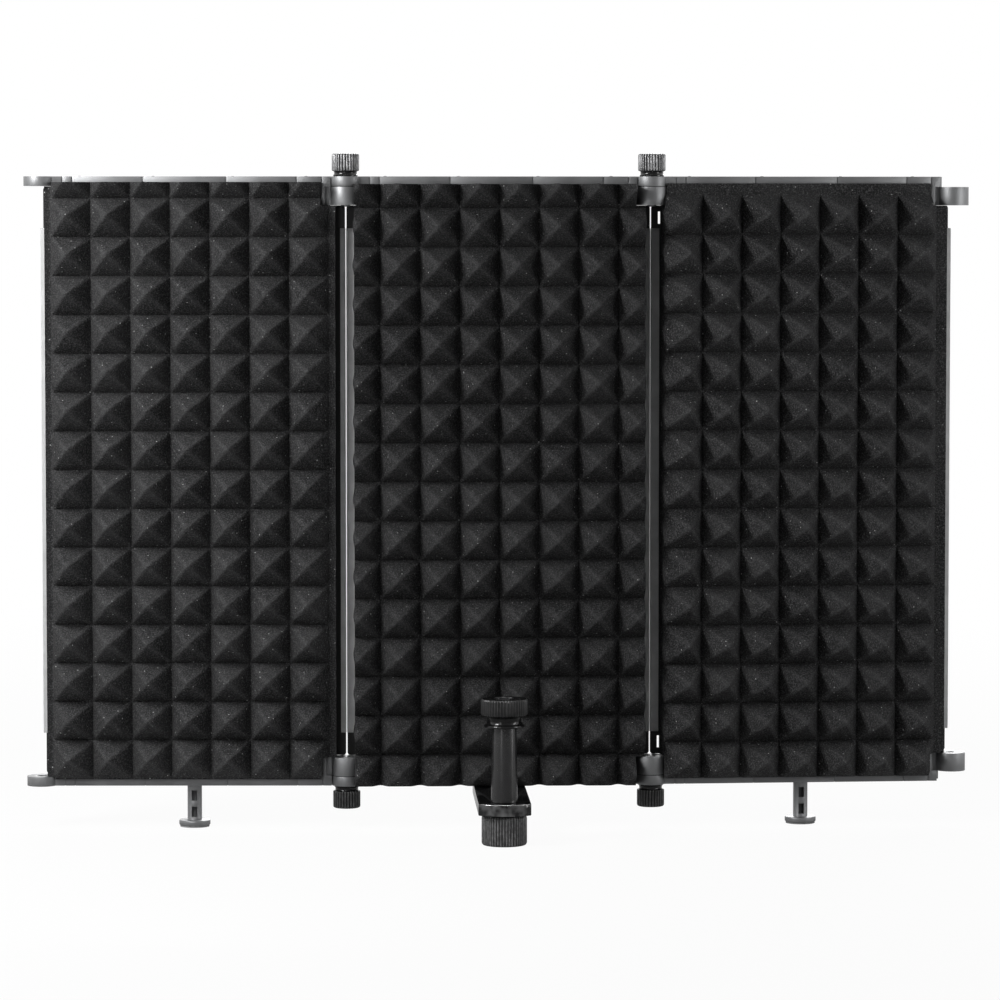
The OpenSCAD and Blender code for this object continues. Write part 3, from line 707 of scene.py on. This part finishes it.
NUT_RIBS = 48
NUT_STEPS = NUT_RIBS * 6
BORE_R = 4.85
STAND_KNOB = [*plain((7.6, 0.0), (10.4, 0.0), (10.9, 0.15)),
              *ribbed((11.3, 0.5), (11.55, 0.9), (11.65, 1.5), (11.65, 13.6), (11.5, 14.4), (11.2, 15.0)),
              *plain((10.7, 15.5), (9.8, 15.9), (9.0, 16.0), (BORE_R, 16.0), (BORE_R, 10.2), (7.0, 10.0)),
              *threaded(7.55, 9.9, 0.35, -1, 60), *plain((7.6, 0.2))]
# The stand knob takes the paler copy, which is painted light.
turn("stand_knob", STAND_KNOB, NUT_STEPS, True, LIT_KNURL_COPY, "stand_knob", "satin_black", ribs=NUT_RIBS,
     rib_depth=0.4 * MM)

MIC_NUT = [*plain((BORE_R, 60.5), (10.1, 60.5), (10.35, 60.75), (10.4, 61.1), (10.35, 61.55), (10.1, 61.8),
                  (9.4, 62.1), (8.95, 62.7), (8.8, 63.4), (8.8, 65.0), (8.95, 65.5), (9.4, 65.9), (10.6, 66.5),
                  (11.3, 66.85)),
           *ribbed((11.75, 67.1), (11.95, 67.4), (12.0, 67.8), (12.0, 73.9), (11.9, 74.5), (11.6, 75.0)),
           *plain((11.1, 75.25), (10.6, 75.3), (7.4, 75.3), (7.1, 75.15), (6.9, 74.8), (BORE_R, 74.8))]
turn("mic_nut", MIC_NUT, NUT_STEPS, True, KNURL, "mic_nut", "satin_black", ribs=NUT_RIBS, rib_depth=0.4 * MM)

STUD = [*plain((0.01, 10.6), (4.1, 10.6), (4.4, 10.9)), *threaded(4.5, 11.1, 73.6, 1, 400),
        *plain((4.3, 74.1), (4.0, 74.3), (0.01, 74.3))]
turn("post_stud", STUD, 40, False, STEEL, "post", "steel", angle=30, thread_depth=0.5 * MM)

POST = plain((BORE_R, 22.0), (6.6, 22.0), (6.88, 22.25), (6.9, 22.8), (6.78, 25.0), (6.38, 59.2), (6.3, 60.0),
             (6.0, 60.4), (BORE_R, 60.45))
turn("mic_post", POST, 96, True, BLACK, "post", "satin_black", angle=30)


# Screws with a cross recess, set on their places by a tree

def screw_head(name, radius, height, recess, shank_r, shank_l):
    """A pan head that looks along +y, with its shank behind it."""
    profile = plain((0.01, -shank_l), (shank_r * 0.6, -shank_l), (shank_r, -shank_l + 0.6), (shank_r, 0.0),
                    (radius, 0.0), (radius, height * 0.35), (radius * 0.9, height * 0.72),
                    (radius * 0.66, height * 0.95), (radius * 0.3, height), (0.01, height))
    piece = new_object(name, lathe(name, profile, 24, False))
    outward(piece.data)
    for long_x, long_y in ((recess, recess * 0.22), (recess * 0.22, recess)):
        p, f = block((-long_x, -long_y, height * 0.35), (long_x, long_y, height * 2))
        cutter = new_object("recess", mesh_of("recess", p, f))
        outward(cutter.data)
        cut = piece.modifiers.new("recess", "BOOLEAN")
        cut.object = cutter
        cut.solver = "EXACT"
        settle(piece)
        bpy.data.objects.remove(cutter)
    piece.data.transform(Matrix.Rotation(-math.pi / 2, 4, "X"))
    return piece


def screw_tree(name, head):
    t = Shape(name, seed=3, finish=None)
    shape = t.tree.nodes.new("GeometryNodeObjectInfo")
    shape.inputs["Object"].default_value = head
    twist = t.add("FunctionNodeRandomValue", data_type="FLOAT", out=1)
    node = twist.node
    node.inputs[2].default_value, node.inputs[3].default_value = 0.0, math.pi
    t.put(node.inputs["Seed"], t.value("seed"))
    rotation = t.add("ShaderNodeCombineXYZ", 0.0, twist, 0.0)
    placed = t.tree.nodes.new("GeometryNodeInstanceOnPoints")
    t.put(placed.inputs["Points"], t.value("Geometry"))
    t.put(placed.inputs["Instance"], shape.outputs["Geometry"])
    t.put(placed.inputs["Rotation"], rotation)
    t.end(placed.outputs[0])
    return t


PLATE_SCREWS = (-0.37, -0.13, 0.13, 0.37)       # places along a rail, in panel widths
plate_head = screw_head("plate_screw_head", radius=2.8, height=1.8, recess=1.5, shank_r=1.38, shank_l=7.9)
plate_screws = screw_tree("plate_screws", plate_head)
for number, panel in enumerate(PANELS):
    spots = [(s * 2 * HALF * MM, PLATE_BACK * MM, z * (TOP - RAIL_T / 2) * MM)
             for s in PLATE_SCREWS for z in (-1, 1)]
    node = panel + "_plate_screws"
    piece = new_object(node + "_set", mesh_of(node, spots, []))
    plate_screws.make(piece, DARK_STEEL, seed=number + 5)
    piece.data.transform(panel_place(panel))
    smooth(piece.data, 30)
    dress(piece, DARK_STEEL, BODY[panel], "dark_steel", node)
bpy.data.objects.remove(plate_head)

bracket_head = screw_head("bracket_screw_head", radius=3.6, height=2.4, recess=2.0, shank_r=1.98, shank_l=11.1)
bracket_screws = screw_tree("bracket_screws", bracket_head)
spots = [(0, (AXIS_Y + LEG_BACK) * MM, z * MM) for z in BRACKET_SCREWS]
piece = new_object("bracket_screws_set", mesh_of("bracket_screws_set", spots, []))
bracket_screws.make(piece, DARK_STEEL, seed=9)
smooth(piece.data, 30)
dress(piece, DARK_STEEL, "center_panel", "dark_steel", "bracket_screws")
bpy.data.objects.remove(bracket_head)


# Solids that stay as they are, with their finish
def paint(finish, *names):
    for name in names:
        node = frame["nodes"][name]
        node.data.materials.clear()
        node.data.materials.append(finish)


hinges = [f"{side}_{end}_hinge_" for side in ("left", "right") for end in ("top", "bottom")]
paint(PLATE, *(panel + "_back_plate" for panel in PANELS))
paint(STEEL, "bracket_nuts", *(hinge + "screw" for hinge in hinges))
paint(NYLON, *(hinge + "washer" for hinge in hinges))
paint(RUBBER, "left_foot_pad", "right_foot_pad")


# Studio: white ground and surroundings, a strong softbox on the left and a weak one on the right, a light
# above, a light behind and two narrow strips
def white_ground():
    """White where it is seen or mirrored, with a faint shadow near the object.

    Its mirrored part darkens towards the front, as the floor of a studio does beyond the paper.
    """
    f = Finish("white_ground", (0.6, 0.6, 0.6), 0.9)
    path = f.tree.nodes.new("ShaderNodeLightPath")
    clear = f.math("MAXIMUM", path.outputs["Is Camera Ray"], path.outputs["Is Transmission Ray"])
    mirrored = path.outputs["Is Glossy Ray"]
    spot = f.tree.nodes.new("ShaderNodeSeparateXYZ")
    f.put(spot.inputs[0], f.place)
    far = f.range(f.add("ShaderNodeVectorMath", f.place, operation="LENGTH", out=1), 0.5, 1.4, 0.95, 1.0)
    front = f.range(spot.outputs["Y"], 0.0, 0.6, 0.2, 1.0)
    strength = f.math("MAXIMUM", clear, f.math("MULTIPLY", mirrored, front))
    glow = f.add("ShaderNodeEmission", (1, 1, 1, 1), strength)
    share = f.math("MULTIPLY", f.math("MAXIMUM", clear, mirrored), far)
    blend = f.add("ShaderNodeMixShader", share, f.shader.outputs[0], glow)
    f.put(f.tree.nodes["Material Output"].inputs["Surface"], blend)
    return f.material


REACH = 6.0
corners = [(-REACH, -REACH, 0), (REACH, -REACH, 0), (REACH, REACH, 0), (-REACH, REACH, 0)]
floor = new_object("ground", mesh_of("ground", corners, [(0, 1, 2, 3)]))
floor.data.materials.append(white_ground())

world = bpy.data.worlds.new("studio")
bpy.context.scene.world = world
world.use_nodes = True
sky = Tree(world.node_tree)
path = sky.tree.nodes.new("ShaderNodeLightPath")
seen = sky.math("MAXIMUM", path.outputs["Is Camera Ray"], path.outputs["Is Transmission Ray"])
way = sky.tree.nodes.new("ShaderNodeSeparateXYZ")
sky.put(way.inputs[0], sky.add("ShaderNodeTexCoord", out="Generated"))
dim_front = sky.add("ShaderNodeMapRange", way.outputs["Y"], -0.8, 0.1, 0.2, 1.0)
shone = sky.math("MULTIPLY", path.outputs["Is Glossy Ray"], dim_front)
ambient = sky.tree.nodes["Background"]
ambient.inputs["Color"].default_value = (1, 1, 1, 1)
sky.put(ambient.inputs["Strength"], sky.math("MAXIMUM", sky.math("MAXIMUM", seen, shone), 0.02))


def lamp(name, at, aim, size, power):
    data = bpy.data.lights.new(name, "AREA")
    data.shape = "RECTANGLE"
    data.size, data.size_y = size
    data.energy = power
    light = new_object(name, data)
    light.visible_camera = False
    light.location = at
    light.rotation_mode = "QUATERNION"
    light.rotation_quaternion = (Vector(aim) - Vector(at)).to_track_quat("-Z", "Y")


lamp("left_softbox", (-0.54, -0.32, 0.53), (-0.42, 0.06, -0.02), (0.25, 0.4), 6.4)
lamp("right_softbox", (0.48, -0.16, 0.28), (0.16, 0.06, 0.18), (0.15, 0.35), 0.6)
lamp("top_light", (0.1, -0.2, 2.2), (0, 0.06, 0.2), (0.6, 0.4), 5)
lamp("front_strip", (-0.17, -0.3, 0.22), (-0.12, 0.07, 0.18), (0.06, 0.35), 0.13)
lamp("right_strip", (1.2, -0.28, 0.25), (0, 0, 0.1), (0.08, 0.5), 0.8)
lamp("back_light", (0.3, 1.9, 1.1), (0, 0.07, 0.18), (1.2, 1.0), 30)

camera = bpy.data.cameras.new("camera")
camera.lens = 160.8
camera.sensor_width = 36.0
camera.clip_start, camera.clip_end = 0.05, 30
eye = new_object("camera", camera)
eye.location = (-0.0906, -2.2705, 0.321)
aim = Vector((0.0006, 0.072, 0.1723))
eye.rotation_euler = (aim - eye.location).to_track_quat("-Z", "Y").to_euler()
bpy.context.scene.camera = eye
bpy.context.scene.view_settings.view_transform = "Standard"
